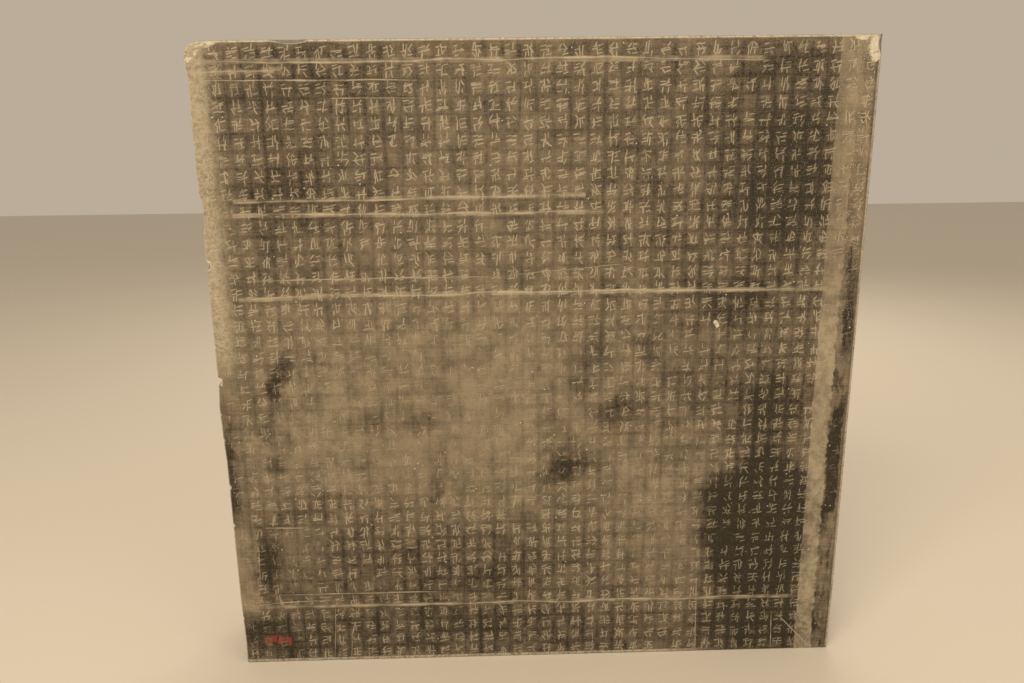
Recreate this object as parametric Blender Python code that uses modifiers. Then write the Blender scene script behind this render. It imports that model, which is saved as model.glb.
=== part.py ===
"""Inscribed epitaph slab: one square block of dark grey limestone that stands on its lower edge.

The inscribed face looks along -Y, +X runs to its right and +Z points up. The origin is the
bottom centre of the block's bounding box. Sizes are in metres.
"""

import math

import bmesh
import bpy
from mathutils import Euler, Vector

# Driving dimensions.
WIDTH = 0.900
HEIGHT = 0.900
THICKNESS = 0.160

# Worn arrises: how far each edge of the inscribed face is rubbed back, and the dressed back.
ARRIS_RIGHT = 0.0055
ARRIS_TOP = 0.0040
ARRIS_LEFT = 0.0030
ARRIS_FOOT = 0.0020
ARRIS_BACK = 0.0100

# The corner that is broken off, at the top left of the inscribed face.
BREAK_RUN = 0.034
BREAK_DROP = 0.023
BREAK_STEPS = 4
BREAK_FLATNESS = 1.25

# The left edge wanders: height above the foot, and how far the edge stands in from straight.
LEFT_EDGE = (
    (0.045, 0.0040),
    (0.105, 0.0025),
    (0.330, 0.0025),
    (0.372, 0.0008),
    (0.412, 0.0000),
    (0.437, 0.0020),
    (0.600, 0.0022),
    (0.655, 0.0025),
    (0.662, 0.0045),
    (0.696, 0.0050),
    (0.706, 0.0020),
    (0.790, 0.0015),
    (0.850, 0.0032),
)
FOOT_LEFT_INSET = 0.0035
FOOT_RIGHT_INSET = 0.0015
FOOT_RIGHT_TOP = 0.090

# Chips struck off the edges: name, centre, half sizes and turn about X, Y and Z in degrees.
LEFT = -WIDTH / 2
RIGHT = WIDTH / 2
FACE = -THICKNESS / 2
BACK = THICKNESS / 2
CHIPS = (
    ("chip_left_middle", (LEFT - 0.001, FACE + 0.006, 0.449), (0.007, 0.020, 0.008), (0, 0, 20)),
    ("chip_left_upper", (LEFT - 0.001, FACE + 0.004, 0.612), (0.008, 0.018, 0.007), (0, 12, 25)),
    ("chip_left_high", (LEFT, FACE + 0.050, 0.760), (0.005, 0.030, 0.022), (0, 0, 0)),
    ("spall_top_right", (RIGHT + 0.003, FACE - 0.002, 0.890), (0.015, 0.009, 0.021), (0, 16, 35)),
    ("chip_top_left", (-0.318, FACE - 0.001, HEIGHT + 0.002), (0.030, 0.008, 0.008), (0, 4, 0)),
    ("chip_foot_middle", (0.085, FACE - 0.001, -0.0005), (0.012, 0.006, 0.004), (0, 0, 0)),
    ("break_back_foot", (RIGHT + 0.004, BACK + 0.004, 0.240), (0.016, 0.026, 0.055), (0, 0, 20)),
    ("break_back_top", (-0.170, BACK + 0.006, HEIGHT + 0.006), (0.090, 0.026, 0.020), (8, 0, 4)),
)
CHIP_SUBDIVISIONS = 2

# Corners closer than SAME_POINT are one, faces flatter than SAME_PLANE are one, and an edge of
# the block is told by how near it lies to the foot, the top or the right side.
SAME_POINT = 0.00001
SAME_PLANE = math.radians(0.5)
NEAR_AN_EDGE = 0.001
NEAR_THE_RIGHT = 0.010


def start_empty_scene():
    """Removes whatever the scene holds and returns one collection for parts and one for cutters."""
    for item in list(bpy.data.objects):
        bpy.data.objects.remove(item, do_unlink=True)
    parts = bpy.data.collections.new("epitaph_slab_parts")
    cutters = bpy.data.collections.new("cutters")
    for collection in (parts, cutters):
        bpy.context.scene.collection.children.link(collection)
    return parts, cutters


def stone_material():
    """Dark grey limestone, with a warm cast from dust and handling."""
    material = bpy.data.materials.new("dark_limestone")
    material.use_nodes = True
    shader = material.node_tree.nodes["Principled BSDF"]
    shader.inputs["Base Color"].default_value = (0.085, 0.070, 0.050, 1.0)
    shader.inputs["Roughness"].default_value = 0.75
    shader.inputs["Metallic"].default_value = 0.0
    return material


def broken_corner_points():
    """The worn break at the top left: a flat arc from the top edge down to the left edge."""
    points = []
    for step in range(BREAK_STEPS + 1):
        turn = math.radians(90) * step / BREAK_STEPS
        x = LEFT + BREAK_RUN * (1 - math.sin(turn)) ** BREAK_FLATNESS
        z = HEIGHT - BREAK_DROP * (1 - math.cos(turn)) ** BREAK_FLATNESS
        points.append((x, z))
    return points


def outline_points():
    """The face's outline, anticlockwise from the bottom left."""
    points = [(LEFT + FOOT_LEFT_INSET, 0.0)]
    points.append((RIGHT - FOOT_RIGHT_INSET, 0.0))
    points.append((RIGHT, FOOT_RIGHT_TOP))
    points.append((RIGHT, HEIGHT))
    points.extend(broken_corner_points())
    for height, inset in reversed(LEFT_EDGE):
        points.append((LEFT + inset, height))
    return points


def block_from_outline(collection):
    """A filled flat outline, thickened to the block and stood upright."""
    curve = bpy.data.curves.new("outline", "CURVE")
    curve.dimensions = "2D"
    curve.fill_mode = "BOTH"
    curve.extrude = THICKNESS / 2
    points = outline_points()
    spline = curve.splines.new("POLY")
    spline.points.add(len(points) - 1)
    for point, (x, z) in zip(spline.points, points):
        point.co = (x, z, 0.0, 1.0)
    spline.use_cyclic_u = True
    drawn = bpy.data.objects.new("outline", curve)
    collection.objects.link(drawn)
    drawn.rotation_euler = (math.radians(90), 0.0, 0.0)
    bpy.context.view_layer.update()

    evaluated = drawn.evaluated_get(bpy.context.evaluated_depsgraph_get())
    mesh = bpy.data.meshes.new_from_object(evaluated)
    mesh.transform(drawn.matrix_world)
    bpy.data.objects.remove(drawn, do_unlink=True)
    solid = bmesh.new()
    solid.from_mesh(mesh)
    bmesh.ops.remove_doubles(solid, verts=solid.verts, dist=SAME_POINT)
    bmesh.ops.dissolve_limit(
        solid,
        angle_limit=SAME_PLANE,
        verts=solid.verts,
        edges=solid.edges,
    )
    bmesh.ops.recalc_face_normals(solid, faces=solid.faces)
    solid.to_mesh(mesh)
    solid.free()
    slab = bpy.data.objects.new("epitaph_slab", mesh)
    collection.objects.link(slab)
    return slab


def edge_wear(edge):
    """How far this edge of the block is rubbed back, 0 for an edge that is left alone."""
    middle = (edge.verts[0].co + edge.verts[1].co) / 2
    along_y = abs(edge.verts[0].co.y - edge.verts[1].co.y)
    if along_y > THICKNESS / 2:
        return 0.0
    if middle.y > 0:
        return ARRIS_BACK if middle.z > NEAR_AN_EDGE else ARRIS_FOOT
    if middle.z < NEAR_AN_EDGE:
        return ARRIS_FOOT
    if middle.x > RIGHT - NEAR_THE_RIGHT:
        return ARRIS_RIGHT
    if middle.z > HEIGHT - NEAR_AN_EDGE:
        return ARRIS_TOP
    return ARRIS_LEFT


def wear_the_arrises(slab):
    """A bevel whose width follows each edge's own wear."""
    mesh = slab.data
    shape = bmesh.new()
    shape.from_mesh(mesh)
    weights = shape.edges.layers.float.new("bevel_weight_edge")
    for edge in shape.edges:
        edge[weights] = edge_wear(edge) / ARRIS_BACK
    shape.to_mesh(mesh)
    shape.free()
    bevel = slab.modifiers.new("worn_arrises", "BEVEL")
    bevel.limit_method = "WEIGHT"
    bevel.width = ARRIS_BACK
    bevel.segments = 2
    bevel.use_clamp_overlap = True


def chip_cutter(name, centre, half_sizes, turn, collection):
    """A faceted lump that stands for the piece struck off an edge."""
    shape = bmesh.new()
    bmesh.ops.create_icosphere(shape, subdivisions=CHIP_SUBDIVISIONS, radius=1.0)
    bmesh.ops.scale(shape, vec=Vector(half_sizes), verts=shape.verts)
    mesh = bpy.data.meshes.new(name)
    shape.to_mesh(mesh)
    shape.free()
    cutter = bpy.data.objects.new(name, mesh)
    cutter.location = centre
    cutter.rotation_euler = Euler([math.radians(angle) for angle in turn])
    cutter.display_type = "WIRE"
    cutter.hide_render = True
    collection.objects.link(cutter)
    return cutter


def strike_off_chips(slab, collection):
    """Cuts every chip out of the block."""
    for name, centre, half_sizes, turn in CHIPS:
        cut = slab.modifiers.new(name, "BOOLEAN")
        cut.operation = "DIFFERENCE"
        cut.solver = "EXACT"
        cut.object = chip_cutter(name, centre, half_sizes, turn, collection)


parts, cutters = start_empty_scene()
epitaph_slab = block_from_outline(parts)
epitaph_slab.data.materials.append(stone_material())
wear_the_arrises(epitaph_slab)
strike_off_chips(epitaph_slab, cutters)
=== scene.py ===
import math
import random

import bmesh
import bpy
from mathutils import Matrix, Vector, noise


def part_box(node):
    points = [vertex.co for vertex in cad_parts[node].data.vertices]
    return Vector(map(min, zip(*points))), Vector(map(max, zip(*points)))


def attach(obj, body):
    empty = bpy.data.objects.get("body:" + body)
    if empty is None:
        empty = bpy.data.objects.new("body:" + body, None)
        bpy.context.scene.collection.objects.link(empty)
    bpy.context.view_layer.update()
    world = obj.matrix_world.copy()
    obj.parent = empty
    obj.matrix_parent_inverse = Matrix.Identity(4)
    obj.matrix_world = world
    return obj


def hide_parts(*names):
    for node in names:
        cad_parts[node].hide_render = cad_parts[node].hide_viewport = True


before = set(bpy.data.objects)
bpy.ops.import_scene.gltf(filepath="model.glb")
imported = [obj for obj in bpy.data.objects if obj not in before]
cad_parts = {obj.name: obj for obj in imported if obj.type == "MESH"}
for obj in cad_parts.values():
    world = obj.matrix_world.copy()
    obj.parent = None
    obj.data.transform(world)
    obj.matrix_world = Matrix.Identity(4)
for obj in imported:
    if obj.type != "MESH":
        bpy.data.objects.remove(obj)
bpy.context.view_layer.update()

# ---------------------------------------------------------------------------------------------
# The block. One squared piece of dense dark limestone. The mason rubbed its face flat for the
# inscription and left the sides and the back as the chisel dressed them. It stands by its own
# weight on the lower edge.

low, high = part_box("epitaph_slab")
WIDTH = high.x - low.x
HEIGHT = high.z - low.z
FACE = low.y
COLUMNS = 40
ROWS = 40
COLUMN_PITCH = 0.02475 * WIDTH
ROW_PITCH = 0.02480 * HEIGHT
FIRST_COLUMN = 0.0185
TOP_ROW = 0.9825
DRESSING_PITCH = 0.011
DRESSING_DEPTH = 0.0020


def on_face(across, up):
    """A place on the inscribed face, from fractions of its width and height."""
    return Vector((low.x + across * WIDTH, FACE, low.z + up * HEIGHT))


def work_on(piece, mode="EDIT", element="FACE"):
    """Makes this piece the only selected one, and opens it with nothing selected in it."""
    if bpy.context.mode != "OBJECT":
        bpy.ops.object.mode_set(mode="OBJECT")
    bpy.ops.object.select_all(action="DESELECT")
    piece.select_set(True)
    bpy.context.view_layer.objects.active = piece
    if mode == "EDIT":
        bpy.ops.object.mode_set(mode="EDIT")
        bpy.ops.mesh.select_mode(type=element)
        bpy.ops.mesh.select_all(action="DESELECT")


def is_inscribed(face):
    """True for a polygon of the rubbed front face."""
    return face.normal.y < -0.999 and face.calc_center_median().y < FACE + 0.0001


def is_dressed(face):
    """True for the sides, the top and the back, which the chisel left rough."""
    return not is_inscribed(face) and face.calc_center_median().z > low.z + 0.0005


def rule_across(piece, wanted, place, direction):
    """Scores a flat cut through the wanted polygons only."""
    shape = bmesh.from_edit_mesh(piece.data)
    for face in shape.faces:
        face.select_set(wanted(face))
    bmesh.update_edit_mesh(piece.data)
    bpy.ops.mesh.bisect(plane_co=place, plane_no=direction, threshold=0.00001)


block_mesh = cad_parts["epitaph_slab"].data.copy()
block_mesh.materials.clear()
block = bpy.data.objects.new("inscribed_slab", block_mesh)
bpy.context.scene.collection.objects.link(block)
work_on(block)
bpy.ops.mesh.select_all(action="SELECT")
bpy.ops.mesh.remove_doubles(threshold=0.00001)
bpy.ops.mesh.dissolve_limited(angle_limit=math.radians(0.5))

left_rule = on_face(FIRST_COLUMN, 0).x - COLUMN_PITCH / 2
top_rule = on_face(0, TOP_ROW).z + ROW_PITCH / 2
for column in range(COLUMNS + 1):
    rule_across(block, is_inscribed, (left_rule + column * COLUMN_PITCH, 0, 0), (1, 0, 0))
for row in range(ROWS + 1):
    rule_across(block, is_inscribed, (0, 0, top_rule - row * ROW_PITCH), (0, 0, 1))
for step in range(1, int(WIDTH / DRESSING_PITCH)):
    rule_across(block, is_dressed, (low.x + step * DRESSING_PITCH, 0, 0), (1, 0, 0))
for step in range(1, int(HEIGHT / DRESSING_PITCH)):
    rule_across(block, is_dressed, (0, 0, low.z + step * DRESSING_PITCH), (0, 0, 1))
for step in range(1, int((high.y - low.y) / DRESSING_PITCH)):
    rule_across(block, is_dressed, (0, low.y + step * DRESSING_PITCH, 0), (0, 1, 0))

work_on(block, mode="OBJECT")
FURROW_PITCH = 0.030
FURROW_DEPTH = 0.0024
FURROW_LENGTH = 0.058
SLANT_UP, SLANT_ACROSS = 0.80, 0.60
BEHIND_FACE = 0.006
ABOVE_FOOT = 0.004
GROWS_OVER = 0.030


def chisel_bite(place):
    """How deep the dressing chisel went here: slanting furrows, broken into short rows."""
    slanted = place.z * SLANT_UP + (place.x + place.y) * SLANT_ACROSS
    along = place.z * SLANT_ACROSS - (place.x + place.y) * SLANT_UP
    row = math.floor(along / FURROW_LENGTH)
    drift = noise.noise(Vector((slanted * 9, row * 3.7, place.y * 4))) * 0.5
    phase = (slanted / FURROW_PITCH + drift + row * 0.37) % 1.0
    return FURROW_DEPTH * (1 - abs(phase * 2 - 1)) * (0.6 + 0.8 * noise.noise(place * 21))


# The dressing starts a little behind the face and above the foot, and grows to its full depth.
pushes = []
for vertex in block.data.vertices:
    from_face = (vertex.co.y - FACE - BEHIND_FACE) / GROWS_OVER
    from_foot = (vertex.co.z - low.z - ABOVE_FOOT) / GROWS_OVER
    amount = max(0.0, min(1.0, from_face, from_foot))
    swell = DRESSING_DEPTH * (0.55 + 0.75 * noise.fractal(vertex.co * 17, 0.8, 2.1, 3))
    pushes.append(vertex.normal * amount * max(0.0, swell + chisel_bite(vertex.co)))
for vertex, push in zip(block.data.vertices, pushes):
    vertex.co -= push

# ---------------------------------------------------------------------------------------------
# What has happened to the face. Black rubbing ink lies thick in some fields and is worn away in
# others, down to the dusty bloom of the stone. Each patch has a name, a centre and half sizes as
# fractions of the face, a turn in degrees, how much ink it adds or takes, and a soft rim.

INK_AT_REST = 0.545
PATCHES = (
    ("upper field", (0.45, 0.84), (0.46, 0.19), 0, 0.10, 0.5),
    ("upper right field", (0.855, 0.835), (0.095, 0.185), 0, 0.24, 0.6),
    ("upper right heart", (0.880, 0.780), (0.060, 0.080), 0, 0.20, 0.8),
    ("upper right columns", (0.915, 0.885), (0.035, 0.150), 0, 0.08, 0.7),
    ("right middle field", (0.900, 0.560), (0.060, 0.120), 0, 0.05, 0.8),
    ("right of centre", (0.870, 0.425), (0.050, 0.080), -12, 0.38, 0.6),
    ("lower right field", (0.866, 0.235), (0.098, 0.116), 0, 0.72, 0.28),
    ("right centre field", (0.700, 0.430), (0.085, 0.070), 0, 0.25, 0.8),
    ("right upper centre", (0.790, 0.612), (0.080, 0.040), 0, 0.28, 0.8),
    ("lower right shoulder", (0.770, 0.300), (0.028, 0.016), -10, 0.30, 0.7),
    ("lower right foot", (0.870, 0.075), (0.085, 0.085), 0, 0.48, 0.6),
    ("right foot margin", (0.960, 0.040), (0.040, 0.040), 0, 0.26, 0.8),
    ("upper left columns", (0.125, 0.790), (0.048, 0.075), 0, 0.24, 0.8),
    ("top left corner", (0.160, 0.960), (0.120, 0.045), 0, 0.22, 0.7),
    ("middle right columns", (0.800, 0.500), (0.070, 0.060), 0, 0.14, 0.9),
    ("foot band", (0.380, 0.040), (0.400, 0.055), 0, 0.22, 0.6),
    ("foot corner", (0.060, 0.045), (0.055, 0.050), 0, 0.20, 0.5),
    ("low centre", (0.400, 0.150), (0.150, 0.075), 8, 0.20, 0.8),
    ("low left", (0.200, 0.180), (0.140, 0.080), 0, 0.14, 0.8),
    ("framed patch", (0.055, 0.187), (0.026, 0.056), 0, 0.38, 0.7),
    ("slanting blot", (0.096, 0.505), (0.014, 0.042), -28, 0.55, 0.6),
    ("slanting blot end", (0.088, 0.468), (0.012, 0.024), -10, 0.40, 0.7),
    ("left blot", (0.078, 0.412), (0.014, 0.022), -10, 0.45, 0.7),
    ("left blot low", (0.082, 0.357), (0.016, 0.014), 0, 0.45, 0.7),
    ("left edge ink", (0.008, 0.350), (0.010, 0.080), 0, 0.45, 0.6),
    ("pair blot left", (0.232, 0.425), (0.032, 0.018), 0, 0.45, 0.7),
    ("pair blot right", (0.312, 0.425), (0.024, 0.020), 10, 0.50, 0.7),
    ("pair blot tail", (0.225, 0.368), (0.013, 0.030), 0, 0.35, 0.8),
    ("upright streak", (0.335, 0.310), (0.007, 0.034), -6, 0.50, 0.7),
    ("low left blot", (0.170, 0.297), (0.032, 0.016), 0, 0.28, 0.8),
    ("centre stair one", (0.505, 0.440), (0.024, 0.024), 0, 0.30, 0.8),
    ("centre stair two", (0.565, 0.500), (0.018, 0.045), 8, 0.32, 0.8),
    ("centre stair three", (0.590, 0.530), (0.020, 0.034), 0, 0.26, 0.8),
    ("centre stair foot", (0.545, 0.337), (0.040, 0.024), 12, 0.50, 0.7),
    ("centre stair side", (0.540, 0.370), (0.030, 0.040), 0, 0.28, 0.8),
    ("centre stair right", (0.622, 0.432), (0.030, 0.026), 20, 0.38, 0.8),
    ("centre right blot", (0.664, 0.545), (0.016, 0.018), 0, 0.35, 0.8),
    ("rubbed centre", (0.340, 0.480), (0.320, 0.150), 0, -0.33, 0.7),
    ("rubbed centre low", (0.360, 0.345), (0.260, 0.085), 0, -0.16, 0.8),
    ("rubbed left", (0.160, 0.360), (0.120, 0.060), 0, -0.16, 0.9),
    ("rubbed right centre", (0.700, 0.300), (0.085, 0.150), 0, -0.28, 0.6),
    ("rubbed by the frame", (0.112, 0.190), (0.036, 0.058), 0, -0.12, 0.8),
    ("rubbed upper middle", (0.440, 0.780), (0.130, 0.150), 0, -0.20, 0.9),
    ("rubbed middle", (0.450, 0.470), (0.070, 0.150), 0, -0.12, 0.9),
)

# Where the cutting itself is worn away, so that few strokes are left: centre, half sizes, loss.
WORN_AWAY = (
    ((0.360, 0.440), (0.300, 0.160), 0.68),
    ((0.120, 0.380), (0.100, 0.090), 0.60),
    ((0.700, 0.290), (0.100, 0.170), 0.66),
    ((0.100, 0.190), (0.055, 0.075), 0.72),
    ((0.740, 0.520), (0.120, 0.070), 0.40),
    ((0.030, 0.745), (0.030, 0.024), 1.00),
    ((0.012, 0.920), (0.022, 0.070), 0.80),
    ((0.956, 0.300), (0.016, 0.480), 0.97),
    ((0.982, 0.300), (0.014, 0.500), 0.98),
    ((0.018, 0.170), (0.022, 0.110), 1.00),
    ((0.018, 0.420), (0.014, 0.200), 0.60),
    ((0.250, 0.120), (0.200, 0.040), 0.45),
    ((0.060, 0.045), (0.045, 0.045), 0.85),
)


def strokes_lost(across, up):
    """How much of the cutting is worn away at this place, from 0 to 1."""
    lost = 0.0
    for (mid_across, mid_up), (half_across, half_up), loss in WORN_AWAY:
        far = math.hypot((across - mid_across) / half_across, (up - mid_up) / half_up)
        lost = max(lost, loss * max(0.0, min(1.0, (1.25 - far) / 0.6)))
    return lost


# ---------------------------------------------------------------------------------------------
# The cutting. Every line on the stone is a wedge-shaped groove from a flat chisel: the strokes
# of the characters, the scars and the scratches. They are gathered as one set of wedges and cut
# out of the block together. The characters are made-up marks, none of them a letter.

STROKE, SCAR, FRESH, WORN = 0, 1, 2, 3
LIFT = 0.0004
MARK_HALF = 0.0087
MARK_SHIFT = 0.0006
STROKE_WIDTH = 0.0018
STROKE_DEPTH = 0.0006
CLEAR_OF_EDGE = 0.008
TURN_SQUARE = 0.02


class Chisel:
    """Collects closed cutting shapes and takes them out of the block in turns."""

    def __init__(self):
        self.cuts = []

    def wedge(self, start, end, outward, width, depth, finish, taper=0.5):
        """A groove from start to end in the surface that looks outward, with sloping ends."""
        along = (end - start).normalized()
        side = outward.cross(along).normalized()
        grow = (depth + LIFT) / depth
        half = side * width / 2 * grow
        reach = along * width / 2 * grow * min(1.0, 2 * taper)
        tip = along * width * taper / 2
        raised = outward * LIFT
        points = [
            start - reach - half + raised,
            start - reach + half + raised,
            end + reach + half + raised,
            end + reach - half + raised,
            start + tip - outward * depth,
            end - tip - outward * depth,
        ]
        faces = ((0, 3, 2, 1), (0, 1, 4), (2, 3, 5), (1, 2, 5, 4), (3, 0, 4, 5))
        self.cuts.append((points, faces, finish))

    def lump(self, centre, sizes, turn, finish, dice):
        """A faceted lump that takes a chip off an edge."""
        shape = bmesh.new()
        bmesh.ops.create_icosphere(shape, subdivisions=2, radius=1.0)
        points = []
        for vertex in shape.verts:
            place = Vector(vertex.co) * dice.uniform(0.86, 1.0)
            place = Vector((place.x * sizes[0], place.y * sizes[1], place.z * sizes[2]))
            place.rotate(turn)
            points.append(centre + place)
        faces = [[vertex.index for vertex in face.verts] for face in shape.faces]
        self.cuts.append((points, faces, finish))
        shape.free()

    def touch(self, box, other):
        """True where two boxes, given as least and most across and least and most up, overlap."""
        beside = box[0] >= other[1] or box[1] <= other[0]
        above = box[2] >= other[3] or box[3] <= other[2]
        return not beside and not above

    def turns(self):
        """Shares the cuts out so that no two in one turn touch each other."""
        turns = []
        for cut in self.cuts:
            across = [point.x for point in cut[0]]
            up = [point.z for point in cut[0]]
            box = (min(across), max(across), min(up), max(up))
            squares = {
                (column, row)
                for column in range(int(box[0] // TURN_SQUARE), int(box[1] // TURN_SQUARE) + 1)
                for row in range(int(box[2] // TURN_SQUARE), int(box[3] // TURN_SQUARE) + 1)
            }
            for cuts, boxes in turns:
                near = (other for square in squares for other in boxes.get(square, ()))
                if not any(self.touch(box, other) for other in near):
                    break
            else:
                cuts, boxes = [], {}
                turns.append((cuts, boxes))
            cuts.append(cut)
            for square in squares:
                boxes.setdefault(square, []).append(box)
        return [cuts for cuts, boxes in turns]

    def cut_out_of(self, piece, finishes):
        """Takes everything collected out of the piece. The cut surfaces bring their finish along."""
        for cuts in self.turns():
            points, faces, slots = [], [], []
            for cut_points, cut_faces, finish in cuts:
                faces += [[len(points) + corner for corner in face] for face in cut_faces]
                slots += [finish] * len(cut_faces)
                points += [tuple(point) for point in cut_points]
            mesh = bpy.data.meshes.new("cuts")
            mesh.from_pydata(points, [], faces)
            for finish in finishes:
                mesh.materials.append(finish)
            mesh.polygons.foreach_set("material_index", slots)
            cutter = bpy.data.objects.new("cuts", mesh)
            bpy.context.scene.collection.objects.link(cutter)
            work_on(cutter)
            bpy.ops.mesh.select_all(action="SELECT")
            bpy.ops.mesh.normals_make_consistent(inside=False)
            work_on(piece, mode="OBJECT")
            carve = piece.modifiers.new("carve", "BOOLEAN")
            carve.operation = "DIFFERENCE"
            carve.solver = "MANIFOLD"
            carve.material_mode = "TRANSFER"
            carve.object = cutter
            bpy.ops.object.modifier_apply(modifier="carve")
            bpy.data.objects.remove(cutter)


chisel = Chisel()
OUT_OF_FACE = Vector((0, -1, 0))


def made_up_mark(dice):
    """The strokes of one mark as ends in a square from -1 to 1: ticks that each lean their own way."""
    strokes = []
    places = [(across, up) for across in (-0.48, 0.50) for up in (0.66, 0.0, -0.64)]
    for across, up in dice.sample(places, dice.choice((4, 5, 5, 6))):
        turn = dice.choice((6, 9, 13, 17, 81, 84, 97, -50, 54)) + dice.uniform(-5, 5)
        half = dice.uniform(0.26, 0.50)
        reach = (half * math.cos(math.radians(turn)), half * math.sin(math.radians(turn)))
        across += dice.uniform(-0.14, 0.14)
        up += dice.uniform(-0.12, 0.12)
        strokes.append(((across - reach[0], up - reach[1]), (across + reach[0], up + reach[1])))
    lean = dice.choice((7, 9, 12, 82, 97)) + dice.uniform(-3, 3)
    half = dice.uniform(0.62, 0.95)
    reach = (half * math.cos(math.radians(lean)), half * math.sin(math.radians(lean)))
    across, up = dice.uniform(-0.15, 0.15), dice.uniform(-0.35, 0.40)
    strokes.append(((across - reach[0], up - reach[1]), (across + reach[0], up + reach[1])))
    return strokes


def cut_mark(column, row, dice):
    """Cuts one mark in its cell, as deep as the wear there has left it."""
    across = FIRST_COLUMN + column * COLUMN_PITCH / WIDTH
    up = TOP_ROW - row * ROW_PITCH / HEIGHT
    lost = strokes_lost(across, up)
    if dice.random() < 0.02 + 0.9 * max(0.0, lost - 0.55):
        return
    middle = on_face(across, up) + Vector((dice.uniform(-1, 1), 0, dice.uniform(-1, 1))) * MARK_SHIFT
    size = MARK_HALF * dice.uniform(0.86, 1.0)
    slim = dice.uniform(0.80, 1.0)
    for start, end in made_up_mark(dice):
        if dice.random() < 0.72 * lost:
            continue
        begin = middle + Vector((start[0] * size * slim, 0, start[1] * size))
        finish = middle + Vector((end[0] * size * slim, 0, end[1] * size))
        if min(begin.x, finish.x) < low.x + CLEAR_OF_EDGE or max(begin.x, finish.x) > high.x - CLEAR_OF_EDGE:
            continue
        width = STROKE_WIDTH * dice.uniform(0.75, 1.15) * (1 - 0.35 * lost)
        depth = STROKE_DEPTH * dice.uniform(0.8, 1.2) * (1 - 0.55 * lost)
        chisel.wedge(begin, finish, OUT_OF_FACE, width, depth, STROKE)


mason = random.Random(40)
for column in range(COLUMNS):
    for row in range(ROWS):
        cut_mark(column, row, mason)

# Long scars lie across the face, where the block was dragged or a bed of the stone opened.
# Each has a start and an end on the face, how far it wanders, a width and a depth.
SCARS = (
    ((0.020, 0.9710), (0.830, 0.9690), 0.0018, 0.0030, 0.0007),
    ((0.012, 0.9560), (0.135, 0.9585), 0.0016, 0.0036, 0.0006),
    ((0.012, 0.9450), (0.330, 0.9440), 0.0013, 0.0026, 0.0007),
    ((0.190, 0.9190), (0.340, 0.9180), 0.0008, 0.0018, 0.0004),
    ((0.055, 0.7745), (0.570, 0.7780), 0.0016, 0.0028, 0.0006),
    ((0.052, 0.7540), (0.600, 0.7520), 0.0014, 0.0030, 0.0007),
    ((0.048, 0.6555), (0.440, 0.6575), 0.0010, 0.0026, 0.0006),
    ((0.440, 0.6575), (0.640, 0.6740), 0.0010, 0.0013, 0.0003),
    ((0.048, 0.6270), (0.160, 0.6300), 0.0022, 0.0030, 0.0006),
    ((0.150, 0.6320), (0.945, 0.6310), 0.0018, 0.0029, 0.0008),
    ((0.048, 0.1040), (0.940, 0.1030), 0.0015, 0.0028, 0.0007),
    ((0.052, 0.1270), (0.360, 0.1260), 0.0008, 0.0022, 0.0005),
    ((0.055, 0.1120), (0.145, 0.1160), 0.0010, 0.0026, 0.0005),
    ((0.055, 0.2490), (0.125, 0.2480), 0.0010, 0.0026, 0.0005),
    ((0.040, 0.1400), (0.042, 0.2320), 0.0008, 0.0020, 0.0004),
    ((0.160, 0.1010), (0.153, 0.0080), 0.0003, 0.0020, 0.0006),
    ((0.186, 0.0560), (0.181, 0.0060), 0.0003, 0.0013, 0.0004),
    ((0.765, 0.1560), (0.769, 0.0050), 0.0003, 0.0022, 0.0006),
    ((0.896, 0.0750), (0.899, 0.0040), 0.0003, 0.0018, 0.0005),
    ((0.904, 0.0720), (0.965, 0.0050), 0.0005, 0.0016, 0.0005),
)
SCAR_STEP = 0.013


def cut_scar(start, end, wander, width, depth, dice):
    """A long wandering groove, cut as a chain of short ones that run into each other."""
    start, end = on_face(*start), on_face(*end)
    along = (end - start).normalized()
    aside = OUT_OF_FACE.cross(along)
    steps = max(2, int((end - start).length / SCAR_STEP))
    drift = dice.uniform(0, 100)
    places = []
    for step in range(steps + 1):
        share = step / steps
        sway = noise.noise(Vector((share * steps * 0.16, drift, 0.0))) * 2.2
        sway += noise.noise(Vector((share * steps * 0.9, drift, 7.0))) * 0.5
        places.append(start.lerp(end, share) + aside * wander * sway)
    for step in range(steps):
        share = (step + 0.5) / steps
        swell_here = 0.75 + 0.45 * noise.noise(Vector((step * 0.35, drift, 3.0)))
        fade = min(1.0, 0.20 + 4 * min(share, 1 - share))
        size = swell_here * fade
        begin, finish = places[step], places[step + 1]
        chisel.wedge(begin, finish, OUT_OF_FACE, width * size, depth * size, SCAR, taper=0.05)


drag = random.Random(7)
for scar in SCARS:
    cut_scar(*scar, drag)

# The arrises are chipped all round, thickest along the top and the left edge.
knock = random.Random(19)


def knock_edge(count, place_at, largest, finish):
    """Takes small chips off along one edge, with a few larger ones among them."""
    for chip in range(count):
        place = place_at(knock.random())
        size = largest * (0.25 + 0.75 * knock.random() ** 3)
        spreads = ((0.6, 1.2), (0.4, 0.7), (0.6, 1.3))
        sizes = [size * knock.uniform(*spread) for spread in spreads]
        aim = Vector([knock.uniform(-1, 1) for axis in range(3)])
        turn = Vector((0, 0, 1)).rotation_difference(aim)
        chisel.lump(place, sizes, turn, finish, knock)


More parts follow.
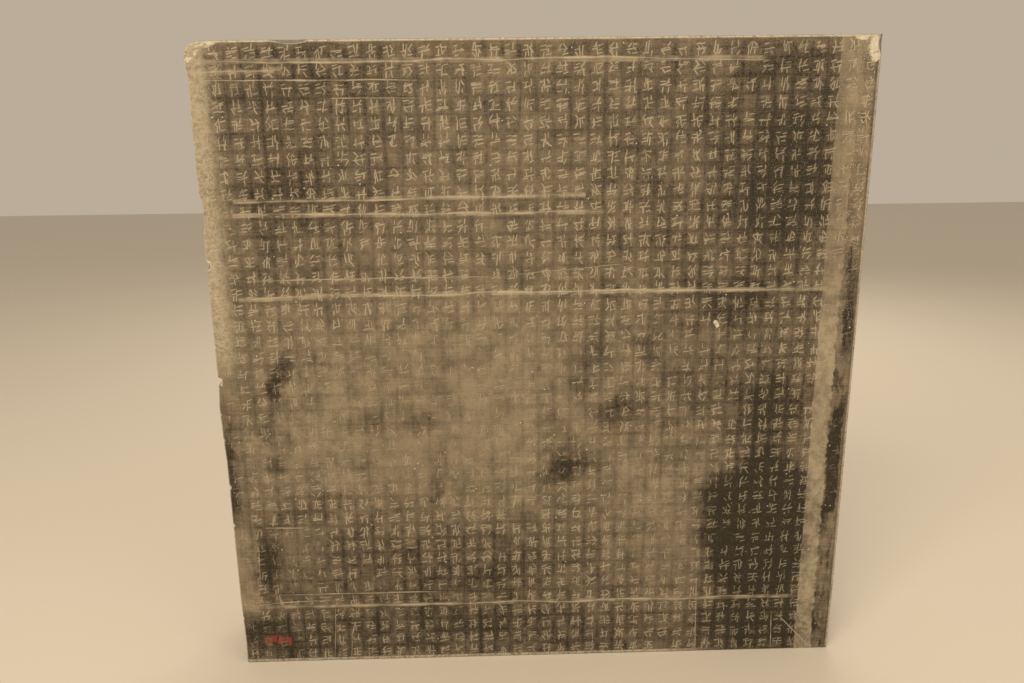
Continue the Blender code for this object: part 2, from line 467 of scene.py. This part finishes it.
knock_edge(34, lambda s: Vector((low.x + 0.002, FACE + 0.001, low.z + s * HEIGHT)), 0.0060, FRESH)
knock_edge(24, lambda s: Vector((high.x - 0.001, FACE + 0.001, low.z + s * HEIGHT)), 0.0040, WORN)
knock_edge(40, lambda s: Vector((low.x + s * WIDTH, FACE + 0.001, high.z)), 0.0045, FRESH)
knock_edge(14, lambda s: Vector((low.x + s * WIDTH, FACE, low.z)), 0.0030, FRESH)
knock_edge(30, lambda s: Vector((low.x + s * WIDTH, high.y, high.z)), 0.0110, WORN)
knock_edge(30, lambda s: Vector((low.x, high.y, low.z + s * HEIGHT)), 0.0100, WORN)
knock_edge(30, lambda s: Vector((high.x, high.y, low.z + s * HEIGHT)), 0.0100, WORN)

# ---------------------------------------------------------------------------------------------
# The finish of the stone: dusty bloom under black rubbing ink, pale dust in the cuts, bare
# stone where it is freshly chipped, and a red painted mark in the lower left corner.


class Tone:
    """One socket of a material. Arithmetic on tones adds the nodes that it needs."""

    def __init__(self, tree, socket=None):
        self.tree = tree
        self.socket = socket

    def node(self, kind, settings=None, inputs=None, output=0):
        made = self.tree.nodes.new(kind)
        for name, value in (settings or {}).items():
            setattr(made, name, value)
        for name, value in (inputs or {}).items():
            if isinstance(value, Tone):
                self.tree.links.new(value.socket, made.inputs[name])
            else:
                made.inputs[name].default_value = value
        return Tone(self.tree, made.outputs[output])

    def maths(self, operation, *values):
        return self.node("ShaderNodeMath", {"operation": operation}, dict(enumerate(values)))

    def __add__(self, other):
        return self.maths("ADD", self, other)

    def __radd__(self, other):
        return self.maths("ADD", other, self)

    def __sub__(self, other):
        return self.maths("SUBTRACT", self, other)

    def __rsub__(self, other):
        return self.maths("SUBTRACT", other, self)

    def __mul__(self, other):
        return self.maths("MULTIPLY", self, other)

    def __rmul__(self, other):
        return self.maths("MULTIPLY", other, self)

    def __truediv__(self, other):
        return self.maths("DIVIDE", self, other)

    def __rtruediv__(self, other):
        return self.maths("DIVIDE", other, self)

    def fade(self, start, end, left=0.0, right=1.0):
        """Runs smoothly from left to right as this tone goes from start to end."""
        inputs = {"Value": self, "From Min": start, "From Max": end, "To Min": left, "To Max": right}
        return self.node("ShaderNodeMapRange", {"interpolation_type": "SMOOTHSTEP"}, inputs)

    def clamped(self):
        return self.node("ShaderNodeClamp", {}, {"Value": self})

    def most(self, other):
        return self.maths("MAXIMUM", self, other)

    def noise(self, scale, detail=2.0, rough=0.5, stretch=(1, 1, 1)):
        """Cloudy noise at this place, finer with a higher scale, stretched along an axis."""
        place = self.node("ShaderNodeMapping", {}, {"Vector": self, "Scale": stretch})
        inputs = {"Vector": place, "Scale": scale, "Detail": detail, "Roughness": rough}
        return self.node("ShaderNodeTexNoise", {}, inputs)

    def blend(self, other, share):
        """A colour between this one and another."""
        made = self.node("ShaderNodeMix", {"data_type": "RGBA"})
        mix = made.socket.node
        for socket, value in ((mix.inputs[0], share), (mix.inputs[6], self), (mix.inputs[7], other)):
            if isinstance(value, Tone):
                self.tree.links.new(value.socket, socket)
            else:
                socket.default_value = (*value, 1.0) if isinstance(value, tuple) else value
        return Tone(self.tree, mix.outputs[2])

    def colour(self, plain):
        """A plain colour to blend from."""
        made = self.node("ShaderNodeRGB")
        made.socket.default_value = (*plain, 1.0)
        return made

    def vector(self, operation, *values):
        """Vector arithmetic; a length, a distance or a dot product comes back as a number."""
        output = "Value" if operation in ("LENGTH", "DISTANCE", "DOT_PRODUCT") else "Vector"
        return self.node("ShaderNodeVectorMath", {"operation": operation}, dict(enumerate(values)), output)

    def size(self):
        """The amount without its sign."""
        return self.maths("ABSOLUTE", self)


DUSTY_BLOOM = (0.320, 0.263, 0.182)
DARK_BLOOM = (0.223, 0.191, 0.134)
BLACK_INK = (0.0330, 0.0269, 0.0167)
RUSTY_FILM = (0.198, 0.148, 0.099)
DUSTY_CUT = (0.510, 0.441, 0.323)
INKED_CUT = (0.156, 0.134, 0.093)
PALE_SCAR = (0.520, 0.450, 0.330)
FRESH_STONE = (0.699, 0.663, 0.541)
PALE_MARGIN = (0.499, 0.444, 0.330)
PALE_CRUMB_AND_HIGHLIGHT = (0.582, 0.543, 0.433)
DRESSED_STONE = (0.213, 0.197, 0.165)
DARK_DRESSED = (0.125, 0.117, 0.099)
RED_PAINT = (0.330, 0.057, 0.037)

# The painted mark is a row of plain brush touches: start and end as fractions of the face.
BRUSH_TOUCHES = (
    ((0.0400, 0.0390), (0.0440, 0.0500)),
    ((0.0480, 0.0380), (0.0520, 0.0490)),
    ((0.0560, 0.0420), (0.0570, 0.0500)),
    ((0.0620, 0.0385), (0.0650, 0.0495)),
    ((0.0650, 0.0385), (0.0700, 0.0470)),
    ((0.0760, 0.0400), (0.0770, 0.0480)),
    ((0.0800, 0.0345), (0.0810, 0.0450)),
)
BRUSH_RADIUS = 0.0024

# Where bare stone shows: a name, its centre, half sizes and turn.
SPALLS = (
    ("top right corner", (0.9900, 0.9810), (0.0085, 0.0185), 8),
    ("top right edge", (0.9800, 0.9955), (0.0180, 0.0035), 0),
    ("pale chip", (0.7790, 0.5780), (0.0036, 0.0068), 25),
    ("left chip upper", (0.0060, 0.6810), (0.0060, 0.0070), 0),
    ("left chip middle", (0.0060, 0.4990), (0.0050, 0.0060), 0),
    ("broken corner", (0.0120, 0.9790), (0.0150, 0.0035), 38),
    ("broken corner top", (0.0330, 0.9940), (0.0160, 0.0030), 10),
)


def near_line(flat, start, end, reach):
    """How near this place is to a line on the face, 1 along its middle and 0 beyond its reach."""
    start, end = on_face(*start), on_face(*end)
    start.y = end.y = 0
    run = end - start
    away = flat.vector("SUBTRACT", flat, start)
    share = (flat.vector("DOT_PRODUCT", away, run) / run.length_squared).clamped()
    on_line = flat.node("ShaderNodeVectorMath", {"operation": "SCALE"}, {0: run, "Scale": share})
    return flat.vector("DISTANCE", away, on_line).fade(reach * 1.15, reach * 0.55)


def from_middle(flat, middle, half_sizes, turn):
    """How far this place is from the middle of a patch on the face, 1 on the patch's rim."""
    centre = on_face(*middle)
    inputs = {
        "Vector": flat,
        "Location": (centre.x, 0, centre.z),
        "Rotation": (0, -math.radians(turn), 0),
        "Scale": (half_sizes[0] * WIDTH, 1, half_sizes[1] * HEIGHT),
    }
    local = flat.node("ShaderNodeMapping", {"vector_type": "TEXTURE"}, inputs)
    return flat.vector("LENGTH", local)


stone = bpy.data.materials.new("inked_limestone")
stone.use_nodes = True
shader = stone.node_tree.nodes["Principled BSDF"]
start = Tone(stone.node_tree)
place = start.node("ShaderNodeTexCoord", output="Object")
apart = place.node("ShaderNodeSeparateXYZ", {}, {0: place}).socket.node
x, y, z = (Tone(stone.node_tree, apart.outputs[axis]) for axis in range(3))
across = (x - low.x) / WIDTH
up = (z - low.z) / HEIGHT

# Unevenness that everything else follows: slow drifts, mottling, brush streaks, fine grain.
drift = place.node("ShaderNodeTexNoise", {}, {"Vector": place, "Scale": 34.0, "Detail": 4.0}, "Color")
drift = drift.vector("SUBTRACT", drift, (0.5, 0.5, 0.5))
drift = place.node("ShaderNodeVectorMath", {"operation": "SCALE"}, {0: drift, "Scale": 0.030})
flat = place.vector("MULTIPLY", place.vector("ADD", place, drift), (1, 0, 1))
mottle = place.noise(26.0, 5.0, 0.62)
medium = place.noise(95.0, 2.0, 0.6)
fine = place.noise(280.0, 2.0, 0.6)
grain = place.noise(760.0, 1.0, 0.6)
upright = place.noise(1.0, 2.0, 0.6, (300, 1, 26))
level = place.noise(1.0, 2.0, 0.6, (18, 1, 420))

# Ink in patches, and between the characters, where the rubbing pad never wore it off.
ink = INK_AT_REST + (mottle - 0.5) * 0.80
for patch, middle, half_sizes, turn, amount, rim in PATCHES:
    far = from_middle(flat, middle, half_sizes, turn)
    ink = far.fade(1 + rim, 1 - rim, 0.0, amount) + ink
in_column = (x - left_rule) / COLUMN_PITCH
in_row = (top_rule - z) / ROW_PITCH
by_column = (in_column.maths("FRACT", in_column) - 0.5).size() * 2
by_row = (in_row.maths("FRACT", in_row) - 0.5).size() * 2
column_bar = by_column.fade(0.60, 0.95) * place.noise(1.0, 2.0, 0.5, (30, 1, 13)).fade(0.38, 0.64)
row_bar = by_row.fade(0.66, 0.96) * place.noise(1.0, 2.0, 0.5, (12, 1, 34)).fade(0.42, 0.68)
written = across.fade(0.026, 0.032) * across.fade(0.9405, 0.9375)
in_cell = by_column.most(by_row).fade(0.95, 0.35)
ink = ink + (column_bar.most(row_bar * 0.7) * 0.15 - in_cell * 0.11) * written
ink = ink + (upright - 0.5) * 0.54 + (level - 0.5) * 0.60 + (medium - 0.5) * 0.55 + (fine - 0.5) * 0.80

# Margins: a pale rub down the left, a pale band down the right with a blotched and barred strip beyond.
edge_sway = (medium - 0.5) * 0.011
right_band = (across + edge_sway * 0.15).fade(0.9385, 0.9410) * (across + edge_sway).fade(0.970, 0.966)
strip = (across + edge_sway).fade(0.964, 0.969) * across.fade(0.9935, 0.9905)
strip_ink = place.noise(1.0, 3.0, 0.6, (70, 1, 24)).fade(0.50, 0.62) * up.fade(0.84, 0.66, 0.12, 0.42)
low_bar = (across + edge_sway).fade(0.968, 0.974) * (across + edge_sway).fade(0.992, 0.988)
low_bar = low_bar * up.fade(0.250, 0.262) * up.fade(0.445, 0.425)
high_bar = (across + edge_sway).fade(0.974, 0.980) * across.fade(0.994, 0.989)
high_bar = high_bar * up.fade(0.51, 0.54) * up.fade(0.74, 0.60)
left_band = (across + edge_sway * 1.8).fade(0.046, 0.012) * (up + edge_sway).fade(0.47, 0.56)
low_band = (across + edge_sway).fade(0.041, 0.035) * up.fade(0.085, 0.105) * up.fade(0.27, 0.24)
ink = ink - right_band * 0.46 - left_band * 0.50 - low_band * 0.44
ink = ink - strip * (0.16 + up.fade(0.66, 0.84) * 0.22)
ink = ink + strip * strip_ink + low_bar * 0.60 + high_bar * 0.42
ink = (ink - up.fade(0.985, 0.999) * 0.25).clamped()

# Cut strokes keep pale dust; where the ink is thick it has run into them.
dust = start.colour(DUSTY_CUT).blend(INKED_CUT, (ink * 1.15 - 0.15).clamped())
bright = place.noise(48.0, 1.0).fade(0.34, 0.60, 0.40, 0.90) * ink.fade(0.10, 0.50, 0.40, 1.0)

ground = start.colour(DUSTY_BLOOM).blend(DARK_BLOOM, mottle.fade(0.35, 0.7))
ground = ground.blend(BLACK_INK, ink)
ground = ground.blend(PALE_MARGIN, left_band * up.fade(0.44, 0.54) * fine.fade(0.30, 0.62, 0.30, 0.78))
dusted = right_band * up.fade(0.66, 0.52, 0.12, 0.50) * medium.fade(0.35, 0.62, 1.0, 0.35)
ground = ground.blend(PALE_MARGIN, dusted)
ground = ground.blend(RUSTY_FILM, place.noise(9.0, 2.0).fade(0.45, 0.7) * 0.25 * (1 - ink))

# Grit and crumbs of pale stone, thickest in the rough margins, and dark pits between them.
speckled = 0.17 + up.fade(0.55, 0.85) * 0.16
speckled = speckled + strip * up.fade(0.45, 0.75) * 0.75 + left_band * 0.45
crumbs = grain.fade(0.56, 0.70) * (medium + fine).fade(0.86, 1.16) * speckled
ground = ground.blend(PALE_CRUMB_AND_HIGHLIGHT, crumbs)
ground = ground.blend(BLACK_INK, grain.fade(0.46, 0.30) * fine.fade(0.54, 0.38) * 0.55)
grit = place.node("ShaderNodeTexVoronoi", {}, {"Vector": place, "Scale": 95.0}, "Distance")
ground = ground.blend(PALE_CRUMB_AND_HIGHLIGHT, grit.fade(0.13, 0.07) * medium.fade(0.56, 0.62))

# The widest scars are bruised on both sides, and the bruise keeps pale dust.
BRUISED_FROM = 0.0027
BRUISE_REACH = 1.25
close = place.node("ShaderNodeVectorMath", {"operation": "SCALE"}, {0: drift, "Scale": 0.12})
close = place.vector("MULTIPLY", place.vector("ADD", place, close), (1, 0, 1))
bruise = None
for scar_start, scar_end, wander, width, depth in SCARS:
    if width > BRUISED_FROM:
        near = near_line(close, scar_start, scar_end, width * BRUISE_REACH)
        bruise = near if bruise is None else bruise.most(near)
patchy = place.noise(24.0, 3.0, 0.6).fade(0.38, 0.62)
bruise = bruise * (0.12 + patchy * 0.75) * (0.4 + medium * 1.1)
ground = ground.blend(PALE_SCAR, bruise.clamped() * 0.56)

# Bare stone shows where the corners and the left edge were struck.
ragged = place.node("ShaderNodeTexNoise", {}, {"Vector": place, "Scale": 420.0, "Detail": 1.0}, "Color")
ragged = place.node("ShaderNodeVectorMath", {"operation": "SCALE"}, {0: ragged, "Scale": 0.0016})
ragged = place.vector("MULTIPLY", place.vector("ADD", place, ragged), (1, 0, 1))
bare = start.colour(FRESH_STONE).blend(DUSTY_BLOOM, medium.fade(0.46, 0.62) * 0.8)
struck = None
for spall, middle, half_sizes, turn in SPALLS:
    far = from_middle(ragged, middle, half_sizes, turn) + (fine - 0.5) * 1.3
    hit = far.fade(1.15, 0.85)
    struck = hit if struck is None else struck.most(hit)
ground = ground.blend(bare, struck * 0.9)

slanted = place.node("ShaderNodeCombineXYZ", {}, {0: z * 136 + (x + y) * 102, 1: z * 13 - (x + y) * 17})
ridge = place.node("ShaderNodeTexNoise", {}, {"Vector": slanted, "Scale": 1.0, "Detail": 2.0})
stained = place.noise(7.0, 5.0, 0.7).fade(0.36, 0.68, 0.0, 0.60)
dressed = start.colour(DRESSED_STONE).blend(DARK_DRESSED, stained)
# Painted shade and painted highlight: darker in the low furrows and paler on the crests of the slanting
# chisel relief, following the same ridge noise that drives the bump.
dressed = dressed.blend(DARK_DRESSED, ridge.fade(0.50, 0.30) * 0.60)
dressed = dressed.blend(PALE_CRUMB_AND_HIGHLIGHT, (ridge * 0.6 + fine * 0.4).fade(0.52, 0.72) * 0.38)
# Painted highlight: a pale mottled band on the first millimetres of the sides and chips behind the front
# arrises, strongest along the top where the light from above catches the edge, and a pale strip along the
# foot of the face over most of its width from the left.
edge_highlight = y.fade(FACE + 0.00005, FACE + 0.0008).most(up.fade(0.0074, 0.0052) * across.fade(0.82, 0.70))
edge_highlight = edge_highlight * (0.75 + up.fade(0.985, 0.996) * 0.25) * fine.fade(0.30, 0.60, 0.30, 0.95)
on_front = y.fade(FACE + 0.0040, FACE + 0.0012)
laid_bare = start.node("ShaderNodeAttribute", {"attribute_name": "finish"}, output="Fac")
is_stroke = laid_bare.maths("COMPARE", laid_bare, 1.0 + STROKE, 0.3)
is_scar = laid_bare.maths("COMPARE", laid_bare, 1.0 + SCAR, 0.3)
is_fresh = laid_bare.maths("COMPARE", laid_bare, 1.0 + FRESH, 0.3)
is_worn = laid_bare.maths("COMPARE", laid_bare, 1.0 + WORN, 0.3)
skin = dressed.blend(ground, on_front)
skin = skin.blend(dust, is_stroke * bright)
skin = skin.blend(PALE_SCAR, is_scar * (0.28 + patchy * 0.38))
# The painted highlight along the arrises, in the pale crumb colour.
skin = skin.blend(PALE_CRUMB_AND_HIGHLIGHT, edge_highlight * on_front)
skin = skin.blend(bare, is_fresh * 0.75)
skin = skin.blend(DRESSED_STONE, is_worn * 0.60)

# The red mark lies over everything else.
painted = None
for touch_start, touch_end in BRUSH_TOUCHES:
    near = near_line(ragged, touch_start, touch_end, BRUSH_RADIUS)
    painted = near if painted is None else painted.most(near)
skin = skin.blend(RED_PAINT, painted * grain.fade(0.30, 0.48) * on_front * 0.85)

relief = fine * 0.5 + grain * 0.35 + upright * 0.15 + ridge * (1 - on_front) * 2.2
bump = start.node("ShaderNodeBump", {}, {"Height": relief, "Strength": 0.3, "Distance": 0.0012})
stone.node_tree.links.new(bump.socket, shader.inputs["Normal"])
stone.node_tree.links.new(skin.socket, shader.inputs["Base Color"])
dull = 0.62 - ink * 0.10 + mottle * 0.16
stone.node_tree.links.new(dull.socket, shader.inputs["Roughness"])
shader.inputs["Specular IOR Level"].default_value = 0.22

# Every cut surface carries a number that says what laid it bare, and the stone reads it.
block.data.materials.append(stone)
laid_bare_by = [bpy.data.materials.new(name) for name in ("stroke", "scar", "fresh", "worn")]
chisel.cut_out_of(block, laid_bare_by)
finish = block.data.attributes.new("finish", "FLOAT", "FACE")
for polygon, value in zip(block.data.polygons, finish.data):
    value.value = polygon.material_index
    polygon.material_index = 0
while len(block.data.materials) > 1:
    block.data.materials.pop()
work_on(block, mode="OBJECT")
bpy.ops.object.shade_smooth_by_angle(angle=math.radians(18))

# The stone's own map: the face as it stands, the sides and the back folded out around it.
FOLDS = {
    "front": (0.010, 0.010, 0.745, 0.745),
    "left": (0.765, 0.010, 0.865, 0.745),
    "right": (0.885, 0.010, 0.985, 0.745),
    "top": (0.010, 0.765, 0.745, 0.865),
    "foot": (0.010, 0.885, 0.745, 0.985),
    "back": (0.765, 0.765, 0.985, 0.985),
}


def fold_of(polygon):
    """The part of the map that this polygon belongs to."""
    if polygon.center.y < FACE + 0.004 and polygon.normal.y < -0.03:
        return "front"
    facing = {
        "left": -polygon.normal.x,
        "right": polygon.normal.x,
        "top": polygon.normal.z,
        "foot": -polygon.normal.z,
        "back": polygon.normal.y,
        "front": -polygon.normal.y,
    }
    return max(facing, key=facing.get)


unfolded = block.data.uv_layers.new(name="OFBake")
for polygon in block.data.polygons:
    fold = fold_of(polygon)
    left, foot, right, top = FOLDS[fold]
    for corner in polygon.loop_indices:
        spot = block.data.vertices[block.data.loops[corner].vertex_index].co
        side = (spot.y - low.y) / (high.y - low.y)
        flat_across = side if fold in ("left", "right") else (spot.x - low.x) / WIDTH
        flat_up = side if fold in ("top", "foot") else (spot.z - low.z) / HEIGHT
        unfolded.data[corner].uv = (left + flat_across * (right - left), foot + flat_up * (top - foot))

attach(block, "root")
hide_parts("epitaph_slab")

# ---------------------------------------------------------------------------------------------
# The studio: a plain pale floor, a soft warm room with three soft boxes above, beside and
# behind the slab, and the camera, which looks down at the inscribed face from in front.

work_on(block, mode="OBJECT")
bpy.ops.mesh.primitive_plane_add(size=16.0, location=(0, 0, low.z))
floor = bpy.context.object
floor.name = "floor"
floor_finish = bpy.data.materials.new("pale_floor")
floor_finish.use_nodes = True
floor_finish.node_tree.nodes["Principled BSDF"].inputs["Base Color"].default_value = (0.72, 0.68, 0.61, 1)
floor_finish.node_tree.nodes["Principled BSDF"].inputs["Roughness"].default_value = 0.9
floor.data.materials.append(floor_finish)

world = bpy.data.worlds.new("soft_room")
bpy.context.scene.world = world
world.use_nodes = True
world.node_tree.nodes["Background"].inputs["Color"].default_value = (0.90, 0.76, 0.58, 1)
world.node_tree.nodes["Background"].inputs["Strength"].default_value = 0.55


def soft_light(name, place, aim, size, watts, colour):
    """A square soft box at a place, aimed at a point."""
    lamp = bpy.data.lights.new(name, "AREA")
    lamp.size = size
    lamp.energy = watts
    lamp.color = colour
    light = bpy.data.objects.new(name, lamp)
    light.location = place
    light.rotation_euler = (Vector(aim) - Vector(place)).to_track_quat("-Z", "Y").to_euler()
    bpy.context.scene.collection.objects.link(light)


soft_light("key", (-0.9, -1.9, 2.6), (0, 0, 0.45), 1.4, 52, (1.0, 0.82, 0.61))
soft_light("fill", (1.8, -1.8, 1.2), (0, 0, 0.45), 1.6, 14, (1.0, 0.83, 0.63))
soft_light("back", (0.6, 2.4, 2.2), (0, 0, 0.4), 1.8, 30, (1.0, 0.84, 0.65))

camera = bpy.data.objects.new("camera", bpy.data.cameras.new("camera"))
camera.data.lens = 28.9
camera.location = (-0.0601, -1.1923, 0.7764)
camera.rotation_euler = [math.radians(angle) for angle in (76.017, 0.679, -1.445)]
bpy.context.scene.collection.objects.link(camera)
bpy.context.scene.camera = camera
bpy.context.scene.view_settings.view_transform = "Standard"
